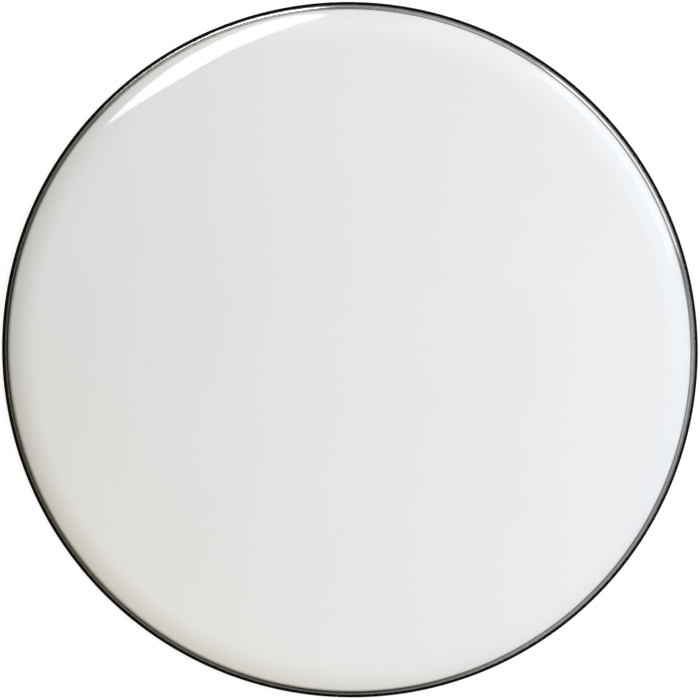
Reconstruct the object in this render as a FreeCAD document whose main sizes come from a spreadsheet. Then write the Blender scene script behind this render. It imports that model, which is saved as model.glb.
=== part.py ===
# Two-ply bass drum head, lying flat with its playing face up.
# The origin is the centre of the hoop's bottom plane and +Z is up.
# Lengths are in millimetres and angles in degrees.
import FreeCAD, Part
import Sketcher
import math
import os

driving_sizes = {
    # Flesh hoop: an aluminium channel rolled to a ring, open upwards, with its outer lip turned in
    "hoop_diameter": 571.5,
    "hoop_width": 7.25,
    "hoop_height": 9.5,
    "hoop_wall": 0.9,
    "hoop_web": 1.2,
    "lip_thickness": 1.1,
    "inner_wall_drop": 1.0,
    "outer_edge_radius": 3.6,
    "outer_edge_limit_share": 0.7,
    "inside_roll_break": 1.4,
    "inside_roll_limit_share": 0.3,
    "base_edge_break": 0.7,
    "base_edge_limit_share": 0.3,
    "lip_edge_break": 0.4,
    "lip_edge_limit_share": 0.3,
    "wall_edge_break": 0.35,
    "wall_edge_limit_share": 0.45,
    # Butt joint where the two ends of the channel meet
    "joint_gap": 0.4,
    "joint_azimuth": -92.0,
    # Splice strip that bridges the joint inside the channel
    "splice_length": 40.0,
    "splice_thickness": 0.8,
    "splice_clearance": 0.25,
    # Film plies: flat crown, rounded collar, straight skirt that stands in the channel
    "ply_thickness": 0.178,
    "skirt_wall_gap": 0.35,
    "skirt_lip_gap": 0.3,
    "skirt_foot_gap": 0.4,
    "shoulder_rise": 3.4,
    "shoulder_radius": 4.0,
    "collar_angle": 32.0,
    "crown_bend_radius": 40.0,
    # Ring of slots through the skirt, where the resin keys both plies to the hoop
    "slot_count": 18,
    "slot_length": 14.0,
    "slot_height": 3.0,
    "slot_foot_rise": 1.5,
    # Cured resin: its level in the mouth, as a share of the lip, and behind the film
    "resin_mouth_share": 0.36,
    "resin_inner_drop": 0.5,
    # How far a cut runs on past the material
    "cut_overrun": 1.0,
}

full_turn = 360
half_turn = 180
edge_tolerance = 1e-6

# Radii of the hoop's section, from the centre line outwards
hoop_outer = "(Sizes.hoop_diameter / 2)"
hoop_bore = f"({hoop_outer} - Sizes.hoop_width)"
channel_inner = f"({hoop_bore} + Sizes.hoop_wall)"
channel_outer = f"({hoop_outer} - Sizes.hoop_wall)"
skirt_inside = f"({channel_inner} + Sizes.skirt_wall_gap)"
skirt_outside = f"({skirt_inside} + 2 * Sizes.ply_thickness)"
lip_edge = f"({skirt_outside} + Sizes.skirt_lip_gap)"
lip_width = f"({hoop_outer} - {lip_edge})"

# Levels of the hoop's section and of what stands in it
lip_underside = "(Sizes.hoop_height - Sizes.lip_thickness)"
inner_wall_top = "(Sizes.hoop_height - Sizes.inner_wall_drop)"
splice_top = "(Sizes.hoop_web + Sizes.splice_thickness)"
skirt_foot = f"({splice_top} + Sizes.skirt_foot_gap)"
resin_mouth = f"({lip_underside} + Sizes.resin_mouth_share * Sizes.lip_thickness)"
resin_inside = f"({inner_wall_top} - Sizes.resin_inner_drop)"

# The film's collar: a wide bend off the crown runs into a tight one, which turns down into the skirt
sine = "sin(Sizes.collar_angle)"
cosine = "cos(Sizes.collar_angle)"
bend_step = "(Sizes.crown_bend_radius - Sizes.shoulder_radius)"
shoulder_level = f"({inner_wall_top} + Sizes.shoulder_rise)"
shoulder_centre = f"({skirt_outside} - Sizes.shoulder_radius)"
crown_centre = f"({shoulder_centre} - {bend_step} * {sine})"
crown_centre_level = f"({shoulder_level} - {bend_step} * {cosine})"

# The rolled edge and the broken edges, each held within the wall that it is on
outer_round = f"min(Sizes.outer_edge_radius; Sizes.outer_edge_limit_share * {lip_width})"
inside_break = f"min(Sizes.inside_roll_break; Sizes.inside_roll_limit_share * {lip_width})"
base_break = "min(Sizes.base_edge_break; Sizes.base_edge_limit_share * Sizes.hoop_width)"
lip_break = f"min(Sizes.lip_edge_break; Sizes.lip_edge_limit_share * {lip_width})"
wall_break = "min(Sizes.wall_edge_break; Sizes.wall_edge_limit_share * Sizes.hoop_wall)"

# Angles that the joint and the splice take up round the ring
joint_turn = "(360 * Sizes.joint_gap / (pi * Sizes.hoop_diameter))"
splice_turn = f"(180 * Sizes.splice_length / (pi * ({channel_inner} + {channel_outer}) / 2))"

doc = FreeCAD.newDocument("DrumHead")
sheet = doc.addObject("Spreadsheet::Sheet", "Sizes")


def fill_sheet():
    for row, (name, value) in enumerate(driving_sizes.items(), start=1):
        sheet.set(f"A{row}", name)
        sheet.set(f"B{row}", str(value))
        sheet.setAlias(f"B{row}", name)
    doc.recompute()


def measure(expression):
    return float(sheet.evalExpression(expression))


def new_body(label):
    body = doc.addObject("PartDesign::Body", label.title().replace("_", ""))
    body.Label = label
    return body


def origin_feature(body, role):
    return next(feature for feature in body.Origin.OriginFeatures if feature.Role == role)


def new_sketch(body, name, plane):
    sketch = body.newObject("Sketcher::SketchObject", name)
    sketch.AttachmentSupport = [(origin_feature(body, plane), "")]
    sketch.MapMode = "FlatFace"
    return sketch


def bind(sketch, name, expression, kind, *places):
    number = sketch.addConstraint(Sketcher.Constraint(kind, *places, measure(expression)))
    sketch.renameConstraint(number, name)
    sketch.setExpression(f"Constraints.{name}", expression)


# A sketch's level axis is geometry -1, with the origin as its point 1, and its upright axis is geometry -2.
def place_point(sketch, name, geometry, end, radius, level):
    for kind, axis, expression in (("DistanceX", -2, radius), ("DistanceY", -1, level)):
        if expression == "0":
            sketch.addConstraint(Sketcher.Constraint("PointOnObject", geometry, end, axis))
        else:
            bind(sketch, name + kind[-1], expression, kind, -1, 1, geometry, end)


def bend_between(first, last, radius, turns_right):
    chord = last - first
    to_centre = FreeCAD.Vector(chord.y, -chord.x, 0)
    to_centre.normalize()
    to_centre.multiply(math.sqrt(radius ** 2 - (chord.Length / 2) ** 2))
    centre = (first + last) / 2 + (to_centre if turns_right else -to_centre)
    begin, finish = (last, first) if turns_right else (first, last)
    angles = [math.atan2(point.y - centre.y, point.x - centre.x) for point in (begin, finish)]
    return Part.ArcOfCircle(Part.Circle(centre, FreeCAD.Vector(0, 0, 1), radius), *angles)


# Corners are (radius, level), and an arc to the next corner adds its radius and the side it turns to.
# An arc runs counter-clockwise, so one that turns right begins at its far corner.
def draw_profile(sketch, corners):
    points = [FreeCAD.Vector(measure(corner[0]), measure(corner[1]), 0) for corner in corners]
    ends = []
    for index, corner in enumerate(corners):
        first, last = points[index], points[(index + 1) % len(points)]
        if len(corner) == 2:
            geometry = sketch.addGeometry(Part.LineSegment(first, last))
            ends.append((geometry, 1, 2))
            continue
        turns_right = corner[3] == "right"
        geometry = sketch.addGeometry(bend_between(first, last, measure(corner[2]), turns_right))
        bind(sketch, f"bend{index}", corner[2], "Radius", geometry)
        ends.append((geometry, 2, 1) if turns_right else (geometry, 1, 2))
    for index, (geometry, begin, finish) in enumerate(ends):
        following, following_begin, _ = ends[(index + 1) % len(ends)]
        sketch.addConstraint(Sketcher.Constraint("Coincident", geometry, finish, following, following_begin))
        place_point(sketch, f"corner{index}", geometry, begin, corners[index][0], corners[index][1])


def revolve(body, name, corners, turn=None):
    sketch = new_sketch(body, name + "Section", "XZ_Plane")
    draw_profile(sketch, corners)
    ring = body.newObject("PartDesign::Revolution", name)
    ring.Profile = sketch
    ring.ReferenceAxis = (sketch, ["V_Axis"])
    ring.Angle = full_turn
    if turn:
        ring.Midplane = True
        ring.setExpression("Angle", turn)
    doc.recompute()
    return ring


def ring_edges(feature, radius, level):
    found = []
    for number, edge in enumerate(feature.Shape.Edges, start=1):
        if not isinstance(edge.Curve, Part.Circle):
            continue
        off = max(abs(edge.Curve.Radius - measure(radius)), abs(edge.Curve.Center.z - measure(level)))
        if off < edge_tolerance:
            found.append(f"Edge{number}")
    if not found:
        raise RuntimeError(f"no edge of radius {measure(radius)} at level {measure(level)}")
    return found


# A dressed edge is a Fillet, set by its Radius, or a Chamfer, set by its Size.
def dress_edges(body, name, kind, setting, size, base, places):
    dressed = body.newObject("PartDesign::" + kind, name)
    dressed.Base = (base, [edge for place in places for edge in ring_edges(base, *place)])
    dressed.setExpression(setting, size)
    doc.recompute()
    return dressed


def turn_to_joint(body, from_joint):
    body.Placement = FreeCAD.Placement(FreeCAD.Vector(), FreeCAD.Rotation(FreeCAD.Vector(0, 0, 1), 1))
    body.setExpression("Placement.Rotation.Angle", f"Sizes.joint_azimuth + {from_joint}")


def make_flesh_hoop():
    body = new_body("flesh_hoop")
    channel = revolve(body, "Channel", [
        (hoop_bore, "0"),
        (hoop_outer, "0"),
        (hoop_outer, "Sizes.hoop_height"),
        (lip_edge, "Sizes.hoop_height"),
        (lip_edge, lip_underside),
        (channel_outer, lip_underside),
        (channel_outer, "Sizes.hoop_web"),
        (channel_inner, "Sizes.hoop_web"),
        (channel_inner, inner_wall_top),
        (hoop_bore, inner_wall_top),
    ], f"{full_turn} - {joint_turn}")
    rolled = dress_edges(body, "RolledEdge", "Fillet", "Radius", outer_round, channel,
                         [(hoop_outer, "Sizes.hoop_height")])
    eased = dress_edges(body, "InsideRoll", "Chamfer", "Size", inside_break, rolled,
                        [(channel_outer, lip_underside)])
    based = dress_edges(body, "BaseEdges", "Chamfer", "Size", base_break, eased,
                        [(hoop_outer, "0"), (hoop_bore, "0")])
    lipped = dress_edges(body, "LipEdge", "Chamfer", "Size", lip_break, based,
                         [(lip_edge, "Sizes.hoop_height")])
    dress_edges(body, "WallEdge", "Chamfer", "Size", wall_break, lipped, [(hoop_bore, inner_wall_top)])
    turn_to_joint(body, half_turn)
    return body


def make_hoop_splice():
    body = new_body("hoop_splice")
    inside = f"({channel_inner} + Sizes.splice_clearance)"
    outside = f"({channel_outer} - Sizes.splice_clearance)"
    revolve(body, "Strip", [
        (inside, "Sizes.hoop_web"),
        (outside, "Sizes.hoop_web"),
        (outside, splice_top),
        (inside, splice_top),
    ], splice_turn)
    turn_to_joint(body, 0)
    return body


# A ply's section lies between two lines set in from the head's top face by the given depths.
def ply_section(top_depth, under_depth):
    depths = (top_depth, under_depth)
    crown_bends = [f"(Sizes.crown_bend_radius - {depth})" for depth in depths]
    shoulder_bends = [f"(Sizes.shoulder_radius - {depth})" for depth in depths]
    crowns = [f"({crown_centre_level} + {bend})" for bend in crown_bends]
    skirts = [f"({skirt_outside} - {depth})" for depth in depths]
    meets = [(f"{shoulder_centre} + {bend} * {sine}", f"{shoulder_level} + {bend} * {cosine}")
             for bend in shoulder_bends]
    return [
        ("0", crowns[0]),
        (crown_centre, crowns[0], crown_bends[0], "right"),
        (*meets[0], shoulder_bends[0], "right"),
        (skirts[0], shoulder_level),
        (skirts[0], skirt_foot),
        (skirts[1], skirt_foot),
        (skirts[1], shoulder_level, shoulder_bends[1], "left"),
        (*meets[1], crown_bends[1], "left"),
        (crown_centre, crowns[1]),
        ("0", crowns[1]),
    ]


def cut_slots(body):
    foot = f"({skirt_foot} + Sizes.slot_foot_rise)"
    head = f"({foot} + Sizes.slot_height)"
    sketch = new_sketch(body, "SlotOutline", "YZ_Plane")
    sketch.setExpression("AttachmentOffset.Base.z", f"{skirt_inside} - Sizes.slot_length")
    draw_profile(sketch, [
        ("0", foot),
        ("Sizes.slot_length", foot),
        ("Sizes.slot_length", head),
        ("0", head),
    ])
    slot = body.newObject("PartDesign::Pocket", "Slot")
    slot.Profile = sketch
    slot.Reversed = True
    slot.setExpression("Length", f"{skirt_outside} - {skirt_inside} + Sizes.slot_length + Sizes.cut_overrun")
    slots = body.newObject("PartDesign::PolarPattern", "Slots")
    slots.Originals = [slot]
    slots.Axis = (origin_feature(body, "Z_Axis"), [""])
    slots.Angle = full_turn
    slots.setExpression("Occurrences", "Sizes.slot_count")
    body.Tip = slots
    doc.recompute()
    floors = [face for face in slots.Shape.Faces if abs(face.CenterOfMass.z - measure(foot)) < edge_tolerance]
    if len(floors) != slots.Occurrences:
        raise RuntimeError(f"{body.Label}: {slots.Occurrences} slots asked for, {len(floors)} cut")


def make_ply(label, top_depth, under_depth):
    body = new_body(label)
    revolve(body, "Film", ply_section(top_depth, under_depth))
    cut_slots(body)
    return body


def make_resin_bead(inner_pieces):
    ring = new_body("resin_ring")
    within_film = f"({skirt_outside} - Sizes.ply_thickness / 2)"
    fill = revolve(ring, "Fill", [
        (channel_inner, "Sizes.hoop_web"),
        (channel_outer, "Sizes.hoop_web"),
        (channel_outer, lip_underside),
        (lip_edge, lip_underside),
        (lip_edge, resin_mouth),
        (within_film, resin_mouth),
        (within_film, resin_inside),
        (channel_inner, resin_inside),
    ])
    dress_edges(ring, "InsideRoll", "Chamfer", "Size", inside_break, fill, [(channel_outer, lip_underside)])
    resin = ring
    for piece in inner_pieces:
        cut = doc.addObject("Part::Cut", "ResinRound" + piece.Name)
        cut.Base = resin
        cut.Tool = piece
        resin = cut
    resin.Label = "resin_bead"
    doc.recompute()
    return resin


def check_parts(parts):
    for item in doc.Objects:
        if "Invalid" in item.State or "Error" in item.State:
            raise RuntimeError(f"{item.Label} failed: {item.State}")
    for part in parts:
        if part.Shape.isNull() or not part.Shape.isValid() or len(part.Shape.Solids) != 1:
            raise RuntimeError(f"{part.Label} is not one valid solid")


def write_parts(parts):
    os.makedirs("parts", exist_ok=True)
    for part in parts:
        part.Shape.exportStep(f"parts/{part.Label}.step")
        print(f"{part.Label}: {part.Shape.Volume:.1f} mm3")


fill_sheet()
flesh_hoop = make_flesh_hoop()
hoop_splice = make_hoop_splice()
upper_ply = make_ply("upper_ply", "0", "Sizes.ply_thickness")
lower_ply = make_ply("lower_ply", "Sizes.ply_thickness", "2 * Sizes.ply_thickness")
resin_bead = make_resin_bead([upper_ply, lower_ply, hoop_splice])
doc.recompute()
all_parts = [flesh_hoop, hoop_splice, upper_ply, lower_ply, resin_bead]
check_parts(all_parts)
write_parts(all_parts)
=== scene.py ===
# Two-ply white drum head in a rolled aluminium hoop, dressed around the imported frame. Lengths are in metres.
import math
import bmesh
import bpy
from mathutils import Matrix, Vector


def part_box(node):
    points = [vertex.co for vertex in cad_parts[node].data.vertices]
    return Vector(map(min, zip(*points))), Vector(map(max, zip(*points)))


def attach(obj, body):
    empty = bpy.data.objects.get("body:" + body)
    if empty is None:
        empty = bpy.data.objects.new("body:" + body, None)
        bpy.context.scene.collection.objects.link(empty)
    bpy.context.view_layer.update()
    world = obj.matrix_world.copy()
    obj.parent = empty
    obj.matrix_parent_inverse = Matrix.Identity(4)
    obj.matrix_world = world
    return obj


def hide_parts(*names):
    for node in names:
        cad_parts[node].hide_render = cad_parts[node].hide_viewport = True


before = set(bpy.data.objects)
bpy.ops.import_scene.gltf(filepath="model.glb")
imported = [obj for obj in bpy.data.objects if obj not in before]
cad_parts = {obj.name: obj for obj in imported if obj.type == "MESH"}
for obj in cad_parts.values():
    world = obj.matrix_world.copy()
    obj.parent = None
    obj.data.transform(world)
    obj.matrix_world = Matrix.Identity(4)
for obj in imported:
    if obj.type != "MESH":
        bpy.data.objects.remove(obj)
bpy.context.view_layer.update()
scene = bpy.context.scene
scene.view_settings.view_transform = "Standard"
print("frame loaded:", ", ".join(sorted(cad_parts)))

# Radii and levels that the pieces share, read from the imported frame
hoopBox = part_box("flesh_hoop")
hoopRadius = hoopBox[1].x
hoopHeight = hoopBox[1].z
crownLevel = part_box("upper_ply")[1].z
ringSteps = 720  # steps round every ring
mergeReach = 2e-6  # points closer than this are one
sharpAngle = math.radians(50)  # edges that turn more than this stay sharp


def addObject(name, data):
    item = bpy.data.objects.new(name, data)
    scene.collection.objects.link(item)
    return item


# Small helpers for node trees

def addNode(tree, kind, sockets=None, **settings):
    node = tree.nodes.new(kind)
    for name, value in settings.items():
        setattr(node, name, value)
    for name, value in (sockets or {}).items():
        node.inputs[name].default_value = value
    return node


def plug(tree, source, target):  # a socket is linked, anything else is set as a plain value
    if isinstance(source, bpy.types.NodeSocket):
        tree.links.new(source, target)
    else:
        target.default_value = source


def maths(tree, operation, *terms):
    node = addNode(tree, "ShaderNodeMath", operation=operation)
    for term, target in zip(terms, node.inputs):
        plug(tree, term, target)
    return node.outputs[0]


def spread(tree, value, low, high, newLow=0.0, newHigh=1.0):  # smooth step from one range to another
    node = addNode(tree, "ShaderNodeMapRange", interpolation_type="SMOOTHSTEP")
    for term, target in zip((value, low, high, newLow, newHigh), node.inputs):
        plug(tree, term, target)
    return node.outputs[0]


def splitPlace(tree, place):  # its parts across, along and up
    parts = addNode(tree, "ShaderNodeSeparateXYZ")
    plug(tree, place, parts.inputs[0])
    return parts.outputs


def flatRadius(tree, across, along):  # distance from the middle, seen from above
    squares = maths(tree, "ADD", maths(tree, "POWER", across, 2), maths(tree, "POWER", along, 2))
    return maths(tree, "SQRT", squares)


def newTree(name, kind, inputs, outputs):
    tree = bpy.data.node_groups.new(name, kind)
    for inOut, sockets in (("INPUT", inputs), ("OUTPUT", outputs)):
        for label, socketKind in sockets.items():
            tree.interface.new_socket(name=label, in_out=inOut, socket_type="NodeSocket" + socketKind)
    return tree, tree.nodes.new("NodeGroupInput").outputs, tree.nodes.new("NodeGroupOutput").inputs


# Section lines: corners are (radius, level, rounding), and a rounded corner becomes an arc

def roundedLine(corners, closed, arcSteps):
    points = []
    for index, (radius, level, rounding) in enumerate(corners):
        here = Vector((radius, level))
        isEnd = not closed and index in (0, len(corners) - 1)
        if isEnd or not rounding:
            points.append(here)
            continue
        toLast = (Vector(corners[index - 1][:2]) - here).normalized()
        toNext = (Vector(corners[(index + 1) % len(corners)][:2]) - here).normalized()
        halfAngle = toLast.angle(toNext) / 2
        centre = here + (toLast + toNext).normalized() * rounding / math.sin(halfAngle)
        begin = here + toLast * rounding / math.tan(halfAngle) - centre
        finish = here + toNext * rounding / math.tan(halfAngle) - centre
        turn = begin.angle_signed(finish)
        for step in range(arcSteps + 1):
            swing = Matrix.Rotation(-turn * step / arcSteps, 2)
            points.append(centre + swing @ begin)
    return points


def sectionObject(name, points, closed):  # drawn flat, radius from the hoop's rim along X and level down Y
    edges = [(index, index + 1) for index in range(len(points) - 1)]
    if closed:
        edges.append((len(points) - 1, 0))
    mesh = bpy.data.meshes.new(name)
    mesh.from_pydata([(point.x - hoopRadius, -point.y, 0) for point in points], edges, [])
    return addObject(name, mesh)


# Geometry node trees: a section swept round the ring, then made uneven as the real piece is

def sweepRound(tree, section, start=None, gap=None):
    if gap is None:
        path = addNode(tree, "GeometryNodeCurvePrimitiveCircle", {"Resolution": ringSteps})
    else:
        path = addNode(tree, "GeometryNodeCurveArc", {"Resolution": ringSteps + 1})
        half = maths(tree, "MULTIPLY", gap, 0.5)
        plug(tree, maths(tree, "ADD", start, half), path.inputs["Start Angle"])
        plug(tree, maths(tree, "SUBTRACT", math.tau, gap), path.inputs["Sweep Angle"])
    path.inputs["Radius"].default_value = hoopRadius
    upright = addNode(tree, "GeometryNodeSetCurveNormal", mode="Z_UP")
    profile = addNode(tree, "GeometryNodeMeshToCurve")
    sweep = addNode(tree, "GeometryNodeCurveToMesh", {"Fill Caps": True})
    plug(tree, path.outputs["Curve"], upright.inputs["Curve"])
    plug(tree, section, profile.inputs["Mesh"])
    plug(tree, upright.outputs["Curve"], sweep.inputs["Curve"])
    plug(tree, profile.outputs["Curve"], sweep.inputs["Profile Curve"])
    return sweep.outputs["Mesh"]


def placeFields(tree):  # position of the point or face in hand, then its parts
    place = addNode(tree, "GeometryNodeInputPosition").outputs[0]
    return place, *splitPlace(tree, place)


def wander(tree, place, waveLength, seed, amount):  # smooth noise, from minus to plus the amount
    noise = addNode(tree, "ShaderNodeTexNoise", {"W": seed, "Detail": 2.0}, noise_dimensions="4D")
    plug(tree, place, noise.inputs["Vector"])
    plug(tree, maths(tree, "DIVIDE", 1, waveLength), noise.inputs["Scale"])
    centred = maths(tree, "SUBTRACT", noise.outputs[0], 0.5)
    return maths(tree, "MULTIPLY", maths(tree, "MULTIPLY", centred, 2), amount)


def moveBy(tree, mesh, x=0.0, y=0.0, z=0.0):
    offset = addNode(tree, "ShaderNodeCombineXYZ")
    for term, target in zip((x, y, z), offset.inputs):
        plug(tree, term, target)
    move = addNode(tree, "GeometryNodeSetPosition")
    plug(tree, mesh, move.inputs["Geometry"])
    plug(tree, offset.outputs[0], move.inputs["Offset"])
    return move.outputs[0]


def endTree(tree, mesh, material, result):
    smooth = addNode(tree, "GeometryNodeSetShadeSmooth")
    realize = addNode(tree, "GeometryNodeRealizeInstances")
    dress = addNode(tree, "GeometryNodeSetMaterial")
    plug(tree, mesh, smooth.inputs["Geometry"])
    plug(tree, smooth.outputs[0], realize.inputs["Geometry"])
    plug(tree, realize.outputs[0], dress.inputs["Geometry"])
    plug(tree, material, dress.inputs["Material"])
    plug(tree, dress.outputs[0], result)


def growPiece(piece, tree, values, thickness=0.0):
    grow = piece.modifiers.new(tree.name, "NODES")
    grow.node_group = tree
    for socket in tree.interface.items_tree:
        if socket.in_out == "INPUT" and socket.name in values:
            grow[socket.identifier] = values[socket.name]
    if thickness:
        wall = piece.modifiers.new("filmThickness", "SOLIDIFY")
        wall.thickness = thickness
        wall.offset = -1.0
        wall.use_even_offset = True
    depsgraph = bpy.context.evaluated_depsgraph_get()
    mesh = bpy.data.meshes.new_from_object(piece.evaluated_get(depsgraph), depsgraph=depsgraph)
    piece.modifiers.clear()
    section = piece.data
    piece.data = mesh
    bpy.data.meshes.remove(section)
    mesh.name = piece.name
    shell = bmesh.new()
    shell.from_mesh(mesh)
    bmesh.ops.remove_doubles(shell, verts=shell.verts, dist=mergeReach)
    bmesh.ops.recalc_face_normals(shell, faces=shell.faces)
    shell.to_mesh(mesh)
    volume = shell.calc_volume()
    shell.free()
    mesh.set_sharp_from_angle(angle=sharpAngle)
    print(f"{piece.name}: {len(mesh.polygons)} faces, {volume * 1e9:.0f} mm3")
    return piece


def seat(piece, node):
    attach(piece, "root")
    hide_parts(node)


# Effects that several finishes share, as shader groups

def makeUnevenness():
    tree, inputs, outputs = newTree("unevenness", "ShaderNodeTree", {
        "Vector": "Vector", "Size": "Float", "Contrast": "Float"}, {"Mask": "Float"})
    noise = addNode(tree, "ShaderNodeTexNoise", {"Detail": 4.0, "Roughness": 0.55})
    plug(tree, inputs["Vector"], noise.inputs["Vector"])
    plug(tree, maths(tree, "DIVIDE", 1, inputs["Size"]), noise.inputs["Scale"])
    centred = maths(tree, "MULTIPLY", maths(tree, "SUBTRACT", noise.outputs[0], 0.5), inputs["Contrast"])
    half = addNode(tree, "ShaderNodeMath", {1: 0.5}, operation="ADD", use_clamp=True)
    plug(tree, centred, half.inputs[0])
    plug(tree, half.outputs[0], outputs["Mask"])
    return tree


def makeRollLines():  # fine lines that run round the ring, close together across it and long along it
    tree, inputs, outputs = newTree("rollLines", "ShaderNodeTree", {
        "Vector": "Vector", "Spacing": "Float", "Run": "Float"}, {"Lines": "Float"})
    across, along, level = splitPlace(tree, inputs["Vector"])
    radius = flatRadius(tree, across, along)
    place = addNode(tree, "ShaderNodeCombineXYZ")
    plug(tree, maths(tree, "DIVIDE", radius, inputs["Spacing"]), place.inputs[0])
    plug(tree, maths(tree, "DIVIDE", level, inputs["Spacing"]), place.inputs[1])
    plug(tree, maths(tree, "DIVIDE", across, inputs["Run"]), place.inputs[2])
    noise = addNode(tree, "ShaderNodeTexNoise", {"Scale": 1.0, "Detail": 3.0}, noise_dimensions="4D")
    plug(tree, place.outputs[0], noise.inputs["Vector"])
    plug(tree, maths(tree, "DIVIDE", along, inputs["Run"]), noise.inputs["W"])
    plug(tree, noise.outputs[0], outputs["Lines"])
    return tree


def makeSpecks():  # small round dots, of which only some cells of the pattern hold one
    tree, inputs, outputs = newTree("specks", "ShaderNodeTree", {
        "Vector": "Vector", "Spacing": "Float", "Share": "Float", "Width": "Float"}, {"Mask": "Float"})
    cells = addNode(tree, "ShaderNodeTexVoronoi")
    plug(tree, inputs["Vector"], cells.inputs["Vector"])
    plug(tree, maths(tree, "DIVIDE", 1, inputs["Spacing"]), cells.inputs["Scale"])
    chance = addNode(tree, "ShaderNodeSeparateColor")
    plug(tree, cells.outputs["Color"], chance.inputs[0])
    holds = maths(tree, "LESS_THAN", chance.outputs[0], inputs["Share"])
    dot = spread(tree, cells.outputs["Distance"], 0.0, inputs["Width"], 1.0, 0.0)
    plug(tree, maths(tree, "MULTIPLY", holds, dot), outputs["Mask"])
    return tree


unevenness = makeUnevenness()
rollLines = makeRollLines()
specks = makeSpecks()


def useEffect(tree, effect, place, **values):
    node = addNode(tree, "ShaderNodeGroup", node_tree=effect)
    plug(tree, place, node.inputs["Vector"])
    for name, value in values.items():
        node.inputs[name].default_value = value
    return node.outputs[0]


def blendColours(tree, mask, first, second):
    node = addNode(tree, "ShaderNodeMix", data_type="RGBA")
    plug(tree, mask, node.inputs["Factor"])
    colours = (node.inputs[6], node.inputs[7])  # the mix node's sockets for colours
    for term, target in zip((first, second), colours):
        plug(tree, term if isinstance(term, bpy.types.NodeSocket) else (*term, 1.0), target)
    return node.outputs[2]


def bump(tree, height, distance, strength=1.0, under=None):
    node = addNode(tree, "ShaderNodeBump", {"Strength": strength, "Distance": distance})
    plug(tree, height, node.inputs["Height"])
    if under is not None:
        plug(tree, under, node.inputs["Normal"])
    return node.outputs[0]


def ringRadius(tree, place, middle):  # radius about a middle that may lie off the hoop's, and the level
    moved = addNode(tree, "ShaderNodeVectorMath", {1: (*middle, 0.0)}, operation="SUBTRACT")
    plug(tree, place, moved.inputs[0])
    across, along, level = splitPlace(tree, moved.outputs[0])
    return flatRadius(tree, across, along), level


def newFinish(name):
    material = bpy.data.materials.new(name)
    material.use_nodes = True
    tree = material.node_tree
    place = addNode(tree, "ShaderNodeTexCoord").outputs["Object"]
    return material, tree, place, tree.nodes["Principled BSDF"].inputs


# White film: both plies are drawn as one thin sheet each, pressed to a crown, collar and skirt

filmLook = {
    "plyThickness": 0.000178,
    "crownBend": 0.040,
    "shoulderBend": 0.004,
    "collarAngle": math.radians(32),
    "skirtInset": 0.005644,  # from the hoop's outside to the film's outside
    "shoulderLevel": 0.0119,
    "skirtFoot": 0.0024,
    "slotFoot": 0.0039,
    "slotHead": 0.0069,
    "slotCount": 18,
    "slotTurn": math.radians(3.0),
    "flatRings": (0.06, 0.12, 0.17, 0.21, 0.24),
    "crownSteps": 26,
    "shoulderSteps": 14,
    "pucker": 0.00005,
    "puckerLength": 0.09,
    "puckerSeed": 3.7,
    "collarBand": (0.03, 0.01),  # the puckers rise between these insets from the skirt
    "colour": (0.83, 0.835, 0.83),
    "shade": (0.815, 0.818, 0.808),
    "backColour": (0.80, 0.805, 0.80),
    "gloss": 0.06,
    "backGloss": 0.30,
    "ior": 1.65,
    "paintedFootShade": (0.20, 0.18, 0.15),  # painted shade on the film's steep foot, standing in for the light that falls off there
    "footShadeReach": (0.2785, 0.2811),  # radii where that begins and is full
    "footShadeDrift": (0.0013, 0.0008),  # its ring lies this far off the hoop's centre, so the painted shade is deeper towards the lower left
    "cloud": {"Size": 0.09, "Contrast": 1.6},  # slow changes of tone
    "dust": {"Spacing": 0.006, "Share": 0.10, "Width": 0.03},
    "dustShade": 0.9,
    "haze": {"Size": 0.012, "Contrast": 1.4},  # slow changes of gloss
    "hazeShares": (0.8, 1.25),
    "wave": {"Size": 0.05, "Contrast": 1.0},
    "waveDepth": 0.00002,
}


def filmLine(depth):
    look = filmLook
    skirt = hoopRadius - look["skirtInset"]
    shoulderCentre = skirt - look["shoulderBend"]
    bendStep = look["crownBend"] - look["shoulderBend"]
    crownCentre = shoulderCentre - bendStep * math.sin(look["collarAngle"])
    crownCentreLevel = crownLevel - look["crownBend"]
    points = [Vector((0.0, crownLevel - depth))]
    points += [Vector((ring, crownLevel - depth)) for ring in look["flatRings"]]
    bends = ((crownCentre, crownCentreLevel, look["crownBend"], 0.0, look["collarAngle"], look["crownSteps"]),
             (shoulderCentre, look["shoulderLevel"], look["shoulderBend"], look["collarAngle"], math.pi / 2,
              look["shoulderSteps"]))
    for centre, level, bend, begin, finish, steps in bends:
        for step in range(steps):
            angle = begin + (finish - begin) * step / steps
            reach = bend - depth
            points.append(Vector((centre + reach * math.sin(angle), level + reach * math.cos(angle))))
    for level in (look["shoulderLevel"], hoopHeight, look["slotHead"], look["slotFoot"], look["skirtFoot"]):
        points.append(Vector((skirt - depth, level)))
    return points


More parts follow.
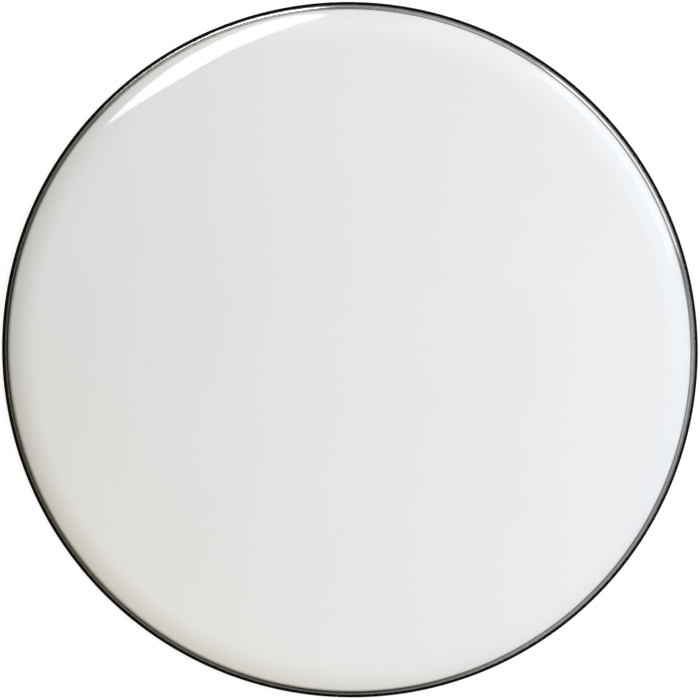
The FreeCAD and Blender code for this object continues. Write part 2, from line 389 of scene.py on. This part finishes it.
def makeFilmTree():
    tree, inputs, outputs = newTree("formedFilm", "GeometryNodeTree", {
        "Section": "Geometry", "Slots": "Int", "Slot turn": "Float", "Slot foot": "Float",
        "Slot head": "Float", "Pucker": "Float", "Pucker length": "Float", "Collar begin": "Float",
        "Collar end": "Float", "Finish": "Material"}, {"Film": "Geometry"})
    sheet = sweepRound(tree, inputs["Section"])
    pole = addNode(tree, "GeometryNodeMergeByDistance", {"Distance": mergeReach})
    plug(tree, sheet, pole.inputs["Geometry"])
    place, across, along, level = placeFields(tree)
    azimuth = maths(tree, "ARCTAN2", along, across)
    pitch = maths(tree, "DIVIDE", math.tau, inputs["Slots"])
    fromSlot = maths(tree, "FLOORED_MODULO", azimuth, pitch)
    inTurn = maths(tree, "LESS_THAN", fromSlot, inputs["Slot turn"])
    aboveFoot = maths(tree, "GREATER_THAN", level, inputs["Slot foot"])
    belowHead = maths(tree, "LESS_THAN", level, inputs["Slot head"])
    inSlot = maths(tree, "MULTIPLY", inTurn, maths(tree, "MULTIPLY", aboveFoot, belowHead))
    cut = addNode(tree, "GeometryNodeDeleteGeometry", domain="FACE")
    plug(tree, pole.outputs[0], cut.inputs["Geometry"])
    plug(tree, inSlot, cut.inputs["Selection"])
    radius = flatRadius(tree, across, along)
    rising = spread(tree, radius, inputs["Collar begin"], inputs["Collar end"])
    falling = spread(tree, level, hoopHeight, crownLevel)
    waves = wander(tree, place, inputs["Pucker length"], filmLook["puckerSeed"], inputs["Pucker"])
    lift = maths(tree, "MULTIPLY", waves, maths(tree, "MULTIPLY", rising, falling))
    puckered = moveBy(tree, cut.outputs[0], z=maths(tree, "SUBTRACT", lift, maths(tree, "ABSOLUTE", lift)))
    endTree(tree, puckered, inputs["Finish"], outputs["Film"])
    return tree


def makeWhiteFilm(name, colour, shade, roughness, shadedFoot=False):
    look = filmLook
    material, tree, place, shader = newFinish(name)
    cloud = useEffect(tree, unevenness, place, **look["cloud"])
    dust = useEffect(tree, specks, place, **look["dust"])
    tone = blendColours(tree, cloud, colour, shade)
    tone = blendColours(tree, dust, tone, tuple(look["dustShade"] * part for part in shade))
    # painted shade: the film darkens down its foot towards the hoop, more on the lower left
    if shadedFoot:
        radius, level = ringRadius(tree, place, look["footShadeDrift"])
        foot = spread(tree, radius, *look["footShadeReach"])
        tone = blendColours(tree, foot, tone, look["paintedFootShade"])
    plug(tree, tone, shader["Base Color"])
    haze = useEffect(tree, unevenness, place, **look["haze"])
    glossier, duller = (share * roughness for share in look["hazeShares"])
    plug(tree, spread(tree, haze, 0.0, 1.0, glossier, duller), shader["Roughness"])
    wave = useEffect(tree, unevenness, place, **look["wave"])
    plug(tree, bump(tree, wave, look["waveDepth"]), shader["Normal"])
    shader["IOR"].default_value = look["ior"]
    return material


def makeFilms():
    look = filmLook
    tree = makeFilmTree()
    whiteFilm = makeWhiteFilm("whiteFilm", look["colour"], look["shade"], look["gloss"], True)
    filmBack = makeWhiteFilm("filmBack", look["backColour"], look["shade"], look["backGloss"])
    skirt = hoopRadius - look["skirtInset"]
    collarBegin, collarEnd = (skirt - inset for inset in look["collarBand"])
    plies = (("upper_film", "upper_ply", whiteFilm), ("lower_film", "lower_ply", filmBack))
    for ply, (name, node, finish) in enumerate(plies):
        line = filmLine(ply * look["plyThickness"])
        values = {"Slots": look["slotCount"], "Slot turn": look["slotTurn"], "Slot foot": look["slotFoot"],
                  "Slot head": look["slotHead"], "Pucker": look["pucker"],
                  "Pucker length": look["puckerLength"], "Collar begin": collarBegin,
                  "Collar end": collarEnd, "Finish": finish}
        film = growPiece(sectionObject(name, line, False), tree, values, look["plyThickness"])
        seat(film, node)


makeFilms()


# Flesh hoop: an aluminium channel with its outer lip rolled in over the resin, its two ends butted

hoopLook = {
    "width": 0.00725,
    "wall": 0.0009,
    "web": 0.0012,
    "lipThickness": 0.0011,
    "lipEdgeInset": 0.005344,
    "innerWallDrop": 0.0010,
    "rolledRadius": 0.00118,
    "baseRadius": 0.0007,
    "lipEdgeRadius": 0.0003,
    "dishInset": (0.0012, 0.0049),  # the lip's top is hollow from the rolled edge up to its crest
    "dishBend": 0.0054,
    "dishSteps": 14,
    "crestDrop": 0.00008,
    "underBend": ((0.0022, 0.0071), (0.0009, 0.0060)),  # insets and levels of the lip's underside
    "underRadius": 0.0005,
    "wallEdgeRadius": 0.00035,
    "innerCorner": 0.0003,
    "arcSteps": 8,
    "jointAzimuth": math.radians(-92),
    "jointGap": 0.0004,
    "ripple": 0.00002,
    "rippleLength": 0.012,
    "rippleSeed": 8.2,
    "metal": (0.58, 0.585, 0.58),
    "dullMetal": (0.40, 0.405, 0.40),
    "polish": 0.04,
    "dull": 0.11,
    "edgeDarkReflection": (0.005, 0.0055, 0.005),  # painted dark reflection on the rolled outer edge
    "darkEdgeReach": (0.0038, 0.0020),  # from the hoop's outside, where the painted dark reflection begins and is full
    "darkEdgeDrift": (0.0004, 0.0001),  # its ring lies this far off the hoop's centre, so the band is wider towards the left
    "darkEdgeFoot": (0.0030, 0.0045),  # levels between which it fades out down the wall
    "darkEdgeRagged": 0.0006,
    "darkEdgeNoise": {"Size": 0.0022, "Contrast": 2.4},
    "jointClear": (0.0006, 0.0012),  # bare metal beside the joint
}


def lipTop():  # corners from the trough beside the rolled edge up to the crest
    look = hoopLook
    begin, end = look["dishInset"]
    bend = look["dishBend"]
    turn = math.asin((end - begin) / bend)
    trough = hoopHeight - look["crestDrop"] - bend * (1 - math.cos(turn))
    angles = [turn * step / look["dishSteps"] for step in range(look["dishSteps"] + 1)]
    line = [(hoopRadius - begin - bend * math.sin(angle), trough + bend * (1 - math.cos(angle)), 0.0)
            for angle in angles]
    return trough, line


def lipUnderside():  # corners from the lip's edge down to the channel's outer wall
    look = hoopLook
    return [(hoopRadius - inset, level, look["underRadius"]) for inset, level in look["underBend"]]


def hoopLine():
    look = hoopLook
    trough, dish = lipTop()
    bore = hoopRadius - look["width"]
    innerChannel = bore + look["wall"]
    outerChannel = hoopRadius - look["wall"]
    lipEdge = hoopRadius - look["lipEdgeInset"]
    lipUnder = hoopHeight - look["lipThickness"]
    wallTop = hoopHeight - look["innerWallDrop"]
    return roundedLine([
        (bore, 0.0, look["baseRadius"]),
        (hoopRadius, 0.0, look["baseRadius"]),
        (hoopRadius, trough, look["rolledRadius"]),
        *dish,
        (lipEdge, hoopHeight, look["lipEdgeRadius"]),
        (lipEdge, lipUnder, look["innerCorner"]),
        *lipUnderside(),
        (outerChannel, look["web"], look["innerCorner"]),
        (innerChannel, look["web"], look["innerCorner"]),
        (innerChannel, wallTop, look["innerCorner"]),
        (bore, wallTop, look["wallEdgeRadius"]),
    ], True, look["arcSteps"])


def makeHoopTree():
    tree, inputs, outputs = newTree("rolledChannel", "GeometryNodeTree", {
        "Section": "Geometry", "Joint azimuth": "Float", "Joint turn": "Float", "Ripple": "Float",
        "Ripple length": "Float", "Finish": "Material"}, {"Hoop": "Geometry"})
    ring = sweepRound(tree, inputs["Section"], inputs["Joint azimuth"], inputs["Joint turn"])
    place, across, along, level = placeFields(tree)
    waves = wander(tree, place, inputs["Ripple length"], hoopLook["rippleSeed"], inputs["Ripple"])
    raised = spread(tree, level, 0.0, hoopHeight)
    drop = maths(tree, "MULTIPLY", maths(tree, "SUBTRACT", waves, maths(tree, "ABSOLUTE", waves)), raised)
    rippled = moveBy(tree, ring, z=drop)
    endTree(tree, rippled, inputs["Finish"], outputs["Hoop"])
    return tree


def paintedEdgeReflection(tree, place):  # where a dark reflection is painted on the rolled outer edge, with a ragged inner border
    look = hoopLook
    radius, level = ringRadius(tree, place, look["darkEdgeDrift"])
    borderNoise = useEffect(tree, unevenness, place, **look["darkEdgeNoise"])
    ragged = maths(tree, "MULTIPLY", maths(tree, "SUBTRACT", borderNoise, 0.5), look["darkEdgeRagged"])
    begin, full = (hoopRadius - reach for reach in look["darkEdgeReach"])
    outer = spread(tree, maths(tree, "ADD", radius, ragged), begin, full)
    upper = spread(tree, level, *look["darkEdgeFoot"])
    joint = look["jointAzimuth"]
    jointPlace = (hoopRadius * math.cos(joint), hoopRadius * math.sin(joint), hoopHeight)
    fromJoint = addNode(tree, "ShaderNodeVectorMath", {1: jointPlace}, operation="DISTANCE")
    plug(tree, place, fromJoint.inputs[0])
    clear = spread(tree, fromJoint.outputs["Value"], *look["jointClear"])
    return maths(tree, "MULTIPLY", clear, maths(tree, "MULTIPLY", outer, upper))


aluminiumLook = {  # wear that all the rolled metal shares
    "lines": {"Spacing": 0.00025, "Run": 0.05},
    "mottle": {"Size": 0.004, "Contrast": 2.2},
    "nicks": {"Spacing": 0.0016, "Share": 0.25, "Width": 0.16},
    "wornShare": 0.5,
    "lineRoughness": 0.03,
    "lineDepth": 0.000003,
    "mottleDepth": 0.00002,
    "nickDepth": 0.00002,
    "nickStrength": 0.3,
}


def makeRolledAluminium(name, look, darkEdgePainted=False):
    wear = aluminiumLook
    material, tree, place, shader = newFinish(name)
    shader["Metallic"].default_value = 1.0
    lines = useEffect(tree, rollLines, place, **wear["lines"])
    mottle = useEffect(tree, unevenness, place, **wear["mottle"])
    nicks = useEffect(tree, specks, place, **wear["nicks"])
    worn = addNode(tree, "ShaderNodeMath", {1: wear["wornShare"]}, operation="MULTIPLY", use_clamp=True)
    plug(tree, maths(tree, "ADD", mottle, nicks), worn.inputs[0])
    colour = blendColours(tree, worn.outputs[0], look["metal"], look["dullMetal"])
    # painted dark reflection: the rolled edge turns near black, with no metal and no shine
    if darkEdgePainted:
        darkEdgeMask = paintedEdgeReflection(tree, place)
        colour = blendColours(tree, darkEdgeMask, colour, look["edgeDarkReflection"])
        plug(tree, maths(tree, "SUBTRACT", 1.0, darkEdgeMask), shader["Metallic"])
        shader["Specular IOR Level"].default_value = 0.0
    plug(tree, colour, shader["Base Color"])
    rough = spread(tree, mottle, 0.0, 1.0, look["polish"], look["dull"])
    streaks = maths(tree, "MULTIPLY", lines, wear["lineRoughness"])
    plug(tree, maths(tree, "ADD", rough, streaks), shader["Roughness"])
    pitted = bump(tree, nicks, wear["nickDepth"], wear["nickStrength"])
    lined = bump(tree, lines, wear["lineDepth"], 1.0, pitted)
    plug(tree, bump(tree, mottle, wear["mottleDepth"], 1.0, lined), shader["Normal"])
    return material


def makeHoop():
    look = hoopLook
    finish = makeRolledAluminium("rolledAluminium", look, True)
    values = {"Joint azimuth": look["jointAzimuth"], "Joint turn": look["jointGap"] / hoopRadius,
              "Ripple": look["ripple"], "Ripple length": look["rippleLength"], "Finish": finish}
    hoop = growPiece(sectionObject("rolled_hoop", hoopLine(), True), makeHoopTree(), values)
    seat(hoop, "flesh_hoop")


makeHoop()


# Splice strip inside the channel: the frame's own solid with a plain mill finish

spliceLook = {
    "metal": (0.56, 0.56, 0.56),
    "dullMetal": (0.45, 0.45, 0.45),
    "polish": 0.3,
    "dull": 0.5,
}


def dressSplice():
    finish = makeRolledAluminium("spliceAluminium", spliceLook)
    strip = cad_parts["hoop_splice"]
    strip.data.materials.clear()
    strip.data.materials.append(finish)
    print("hoop_splice: the frame's solid, dressed")


dressSplice()


# Cured resin: fills the channel round the film's skirt and climbs a little where it wets metal and film

resinLook = {
    "mouthDrop": 0.000704,  # from the lip's top to the resin's level
    "insideLevel": 0.0080,
    "climb": 0.00022,
    "meniscusSteps": 8,
    "sink": 0.00012,
    "sinkLength": 0.014,
    "sinkSeed": 5.1,
    "sinkBand": 0.0005,  # only the top of the fill is uneven
    "colour": (0.36, 0.35, 0.32),
    "pale": (0.46, 0.45, 0.42),
    "gloss": 0.25,
    "dull": 0.45,
    "cloud": {"Size": 0.008, "Contrast": 2.0},
    "bubbles": {"Spacing": 0.0012, "Share": 0.3, "Width": 0.3},
    "bubbleDepth": 0.00008,
}


def meniscus(fromRadius, toRadius, level):  # a shallow trough between two wetted walls
    look = resinLook
    steps = look["meniscusSteps"]
    line = []
    for step in range(steps + 1):
        share = step / steps
        rise = look["climb"] * (2 * share - 1) ** 2
        line.append((fromRadius + (toRadius - fromRadius) * share, level + rise, 0.0))
    return line


def resinLine():
    look = resinLook
    bore = hoopRadius - hoopLook["width"]
    innerChannel = bore + hoopLook["wall"]
    outerChannel = hoopRadius - hoopLook["wall"]
    lipEdge = hoopRadius - hoopLook["lipEdgeInset"]
    lipUnder = hoopHeight - hoopLook["lipThickness"]
    skirtOutside = hoopRadius - filmLook["skirtInset"]
    skirtInside = skirtOutside - 2 * filmLook["plyThickness"]
    foot = filmLook["skirtFoot"]
    corners = [(innerChannel, hoopLook["web"], 0.0), (outerChannel, hoopLook["web"], 0.0),
               *reversed(lipUnderside()), (lipEdge, lipUnder, 0.0)]
    corners += meniscus(lipEdge, skirtOutside, hoopHeight - look["mouthDrop"])
    corners += [(skirtOutside, foot, 0.0), (skirtInside, foot, 0.0)]
    corners += meniscus(skirtInside, innerChannel, look["insideLevel"])
    return roundedLine(corners, True, hoopLook["arcSteps"])


def makeResinTree():
    tree, inputs, outputs = newTree("curedFill", "GeometryNodeTree", {
        "Section": "Geometry", "Sink": "Float", "Sink length": "Float",
        "Finish": "Material"}, {"Fill": "Geometry"})
    ring = sweepRound(tree, inputs["Section"])
    place, across, along, level = placeFields(tree)
    waves = wander(tree, place, inputs["Sink length"], resinLook["sinkSeed"], inputs["Sink"])
    topLevel = resinLook["insideLevel"]
    top = spread(tree, level, topLevel - resinLook["sinkBand"], topLevel)
    sunk = moveBy(tree, ring, z=maths(tree, "MULTIPLY", waves, top))
    endTree(tree, sunk, inputs["Finish"], outputs["Fill"])
    return tree


def makeCuredResin():
    look = resinLook
    material, tree, place, shader = newFinish("curedResin")
    cloud = useEffect(tree, unevenness, place, **look["cloud"])
    bubbles = useEffect(tree, specks, place, **look["bubbles"])
    plug(tree, blendColours(tree, cloud, look["colour"], look["pale"]), shader["Base Color"])
    plug(tree, spread(tree, cloud, 0.0, 1.0, look["gloss"], look["dull"]), shader["Roughness"])
    plug(tree, bump(tree, bubbles, -look["bubbleDepth"]), shader["Normal"])
    return material


def makeResin():
    look = resinLook
    values = {"Sink": look["sink"], "Sink length": look["sinkLength"], "Finish": makeCuredResin()}
    fill = growPiece(sectionObject("resin_fill", resinLine(), True), makeResinTree(), values)
    seat(fill, "resin_bead")


makeResin()


# Stage: a pale floor, soft lamps and the camera

floorLook = {
    "reach": 30.0,
    "colour": (0.41, 0.41, 0.41),
    "mottle": (0.39, 0.39, 0.39),
    "cloud": {"Size": 0.4, "Contrast": 1.0},
    "roughness": 0.7,
    "shine": 0.2,
    "lift": 0.75,  # glow that camera, glossy and transmitted rays see, so that the floor reads white
}


def makeFloor():
    look = floorLook
    mesh = bpy.data.meshes.new("floor")
    reach = look["reach"]
    corners = [(-reach, -reach, 0), (reach, -reach, 0), (reach, reach, 0), (-reach, reach, 0)]
    mesh.from_pydata(corners, [], [(0, 1, 2, 3)])
    floor = addObject("floor", mesh)
    material, tree, place, shader = newFinish("paleFloor")
    cloud = useEffect(tree, unevenness, place, **look["cloud"])
    plug(tree, blendColours(tree, cloud, look["colour"], look["mottle"]), shader["Base Color"])
    shader["Roughness"].default_value = look["roughness"]
    shader["Specular IOR Level"].default_value = look["shine"]
    rays = addNode(tree, "ShaderNodeLightPath").outputs
    seen = maths(tree, "MAXIMUM", rays["Is Camera Ray"],
                 maths(tree, "MAXIMUM", rays["Is Glossy Ray"], rays["Is Transmission Ray"]))
    glow = addNode(tree, "ShaderNodeEmission")
    plug(tree, maths(tree, "MULTIPLY", seen, look["lift"]), glow.inputs["Strength"])
    both = addNode(tree, "ShaderNodeAddShader")
    plug(tree, tree.nodes["Principled BSDF"].outputs[0], both.inputs[0])
    plug(tree, glow.outputs[0], both.inputs[1])
    plug(tree, both.outputs[0], tree.nodes["Material Output"].inputs["Surface"])
    mesh.materials.append(material)


makeFloor()

lampLook = {  # mirrored lamps show in the film and the metal, the others only light them
    "leftPanel": {
        "place": (-0.644, 1.967, 1.501), "faces": (0.863, 0.144, -0.485), "along": (-0.014, 0.965, 0.261),
        "size": (3.0, 0.755), "radiance": 4.35, "colour": (1.0, 1.0, 1.02), "mirrored": True},
    "rightGlow": {
        "place": (1.326, 0.929, 0.638), "faces": (-1.106, -0.763, -0.628), "along": (-0.574, 0.819, 0.0),
        "size": (1.2, 1.16), "radiance": 1.35, "colour": (1.0, 1.0, 1.0), "mirrored": True},
    "rightSoft": {
        "place": (0.497, -0.287, 0.819), "faces": (-0.497, 0.287, -0.819), "along": (0.0, 1.0, 0.0),
        "size": (0.8, 0.8), "radiance": 1.28, "colour": (0.81, 1.0, 1.34), "mirrored": False},
    "overSoft": {
        "place": (0.5, 0.0, 0.866), "faces": (-0.5, 0.0, -0.866), "along": (0.0, 1.0, 0.0),
        "size": (0.8, 0.8), "radiance": 0.86, "colour": (1.04, 1.0, 0.98), "mirrored": False},
    "bottomFill": {
        "place": (0.0, -0.819, 0.574), "faces": (0.0, 0.819, -0.574), "along": (1.0, 0.0, 0.0),
        "size": (0.8, 0.8), "radiance": 1.03, "colour": (1.17, 1.0, 0.70), "mirrored": False},
    "leftWarm": {
        "place": (-0.426, -0.298, 0.30), "faces": (0.206, 0.143, -0.285), "along": (-0.57, 0.82, 0.0),
        "size": (0.3, 0.3), "radiance": 0.42, "colour": (1.40, 1.0, 0.68), "mirrored": False},
}
roomLook = {  # soft patches of the room, each with its direction in degrees and its colour
    "highRight": {"zenith": 30, "azimuth": 30, "colour": (0.415, 0.415, 0.415)},
    "highTop": {"zenith": 30, "azimuth": 90, "colour": (0.41, 0.41, 0.41)},
    "right": {"zenith": 45, "azimuth": 0, "colour": (0.34, 0.345, 0.35)},
    "upperLeft": {"zenith": 45, "azimuth": 120, "colour": (0.93, 0.89, 0.68)},
    "left": {"zenith": 45, "azimuth": 180, "colour": (0.08, 0.06, 0.01)},
    "lowRight": {"zenith": 45, "azimuth": 294, "colour": (0.56, 0.54, 0.49)},
    "farTop": {"zenith": 60, "azimuth": 60, "colour": (0.56, 0.60, 0.70)},
    "farLowLeft": {"zenith": 60, "azimuth": 240, "colour": (0.22, 0.21, 0.19)},
    "farRight": {"zenith": 60, "azimuth": 330, "colour": (0.42, 0.42, 0.41)},
    "sillRight": {"zenith": 75, "azimuth": 352, "colour": (0.70, 0.69, 0.67)},
    "sillTop": {"zenith": 75, "azimuth": 75, "colour": (0.75, 0.76, 0.77)},
    "sillUpperLeft": {"zenith": 75, "azimuth": 150, "colour": (0.24, 0.22, 0.16)},
    "sillLeft": {"zenith": 75, "azimuth": 210, "colour": (0.14, 0.10, 0.03)},
    "sillLow": {"zenith": 75, "azimuth": 300, "colour": (0.475, 0.467, 0.44)},
}
roomPower = 40.0  # how sharply a patch fades away from its middle
roomFloor = 0.01  # what is left between the patches
horizonFade = (0.02, 0.12)  # the room darkens between these heights, down to the horizon


def aimed(place, along, back):  # where a lamp or a camera stands, looking away from its back
    turned = Matrix((along, back.cross(along), back)).transposed().to_4x4()
    return Matrix.Translation(place) @ turned


def makeLamps():
    for name, look in lampLook.items():
        light = bpy.data.lights.new(name, "AREA")
        light.shape = "RECTANGLE"
        light.size, light.size_y = look["size"]
        light.energy = look["radiance"] * math.pi * light.size * light.size_y
        light.color = look["colour"]
        lamp = addObject(name, light)
        back = -Vector(look["faces"]).normalized()
        along = Vector(look["along"])
        along = (along - along.dot(back) * back).normalized()
        lamp.matrix_world = aimed(look["place"], along, back)
        lamp.visible_camera = False
        lamp.visible_glossy = look["mirrored"]


def makeRoom():
    world = bpy.data.worlds.new("softRoom")
    scene.world = world
    world.use_nodes = True
    tree = world.node_tree
    direction = addNode(tree, "ShaderNodeTexCoord").outputs["Generated"]
    total = (roomFloor, roomFloor, roomFloor)
    for look in roomLook.values():
        zenith, azimuth = math.radians(look["zenith"]), math.radians(look["azimuth"])
        axis = (math.sin(zenith) * math.cos(azimuth), math.sin(zenith) * math.sin(azimuth), math.cos(zenith))
        facing = addNode(tree, "ShaderNodeVectorMath", {1: axis}, operation="DOT_PRODUCT")
        plug(tree, direction, facing.inputs[0])
        nearness = maths(tree, "MULTIPLY_ADD", facing.outputs["Value"], 0.5, 0.5)
        patch = maths(tree, "POWER", nearness, roomPower)
        tinted = addNode(tree, "ShaderNodeVectorMath", {0: look["colour"]}, operation="SCALE")
        plug(tree, patch, tinted.inputs["Scale"])
        joined = addNode(tree, "ShaderNodeVectorMath", operation="ADD")
        plug(tree, total, joined.inputs[0])
        plug(tree, tinted.outputs[0], joined.inputs[1])
        total = joined.outputs[0]
    across, along, height = splitPlace(tree, direction)
    background = tree.nodes["Background"].inputs
    plug(tree, total, background["Color"])
    plug(tree, spread(tree, height, *horizonFade), background["Strength"])


makeLamps()
makeRoom()
print(f"stage: floor, {len(lampLook)} lamps, {len(roomLook)} room patches")

cameraLook = {
    "tilt": math.radians(6.2),  # off straight down
    "tiltAzimuth": math.radians(47.2),
    "distance": 6.0,
    "lens": 376.25,  # millimetres, as is the sensor
    "sensor": 36.0,
    "aim": (0.00061, 0.00031, 0.0),
}


def makeCamera():
    look = cameraLook
    camera = bpy.data.cameras.new("overheadCamera")
    camera.lens = look["lens"]
    camera.sensor_width = look["sensor"]
    holder = addObject("overheadCamera", camera)
    tilt, azimuth = look["tilt"], look["tiltAzimuth"]
    back = Vector((math.sin(tilt) * math.cos(azimuth), math.sin(tilt) * math.sin(azimuth), math.cos(tilt)))
    right = Vector((0, 1, 0)).cross(back).normalized()
    holder.matrix_world = aimed(Vector(look["aim"]) + back * look["distance"], right, back)
    scene.camera = holder


makeCamera()
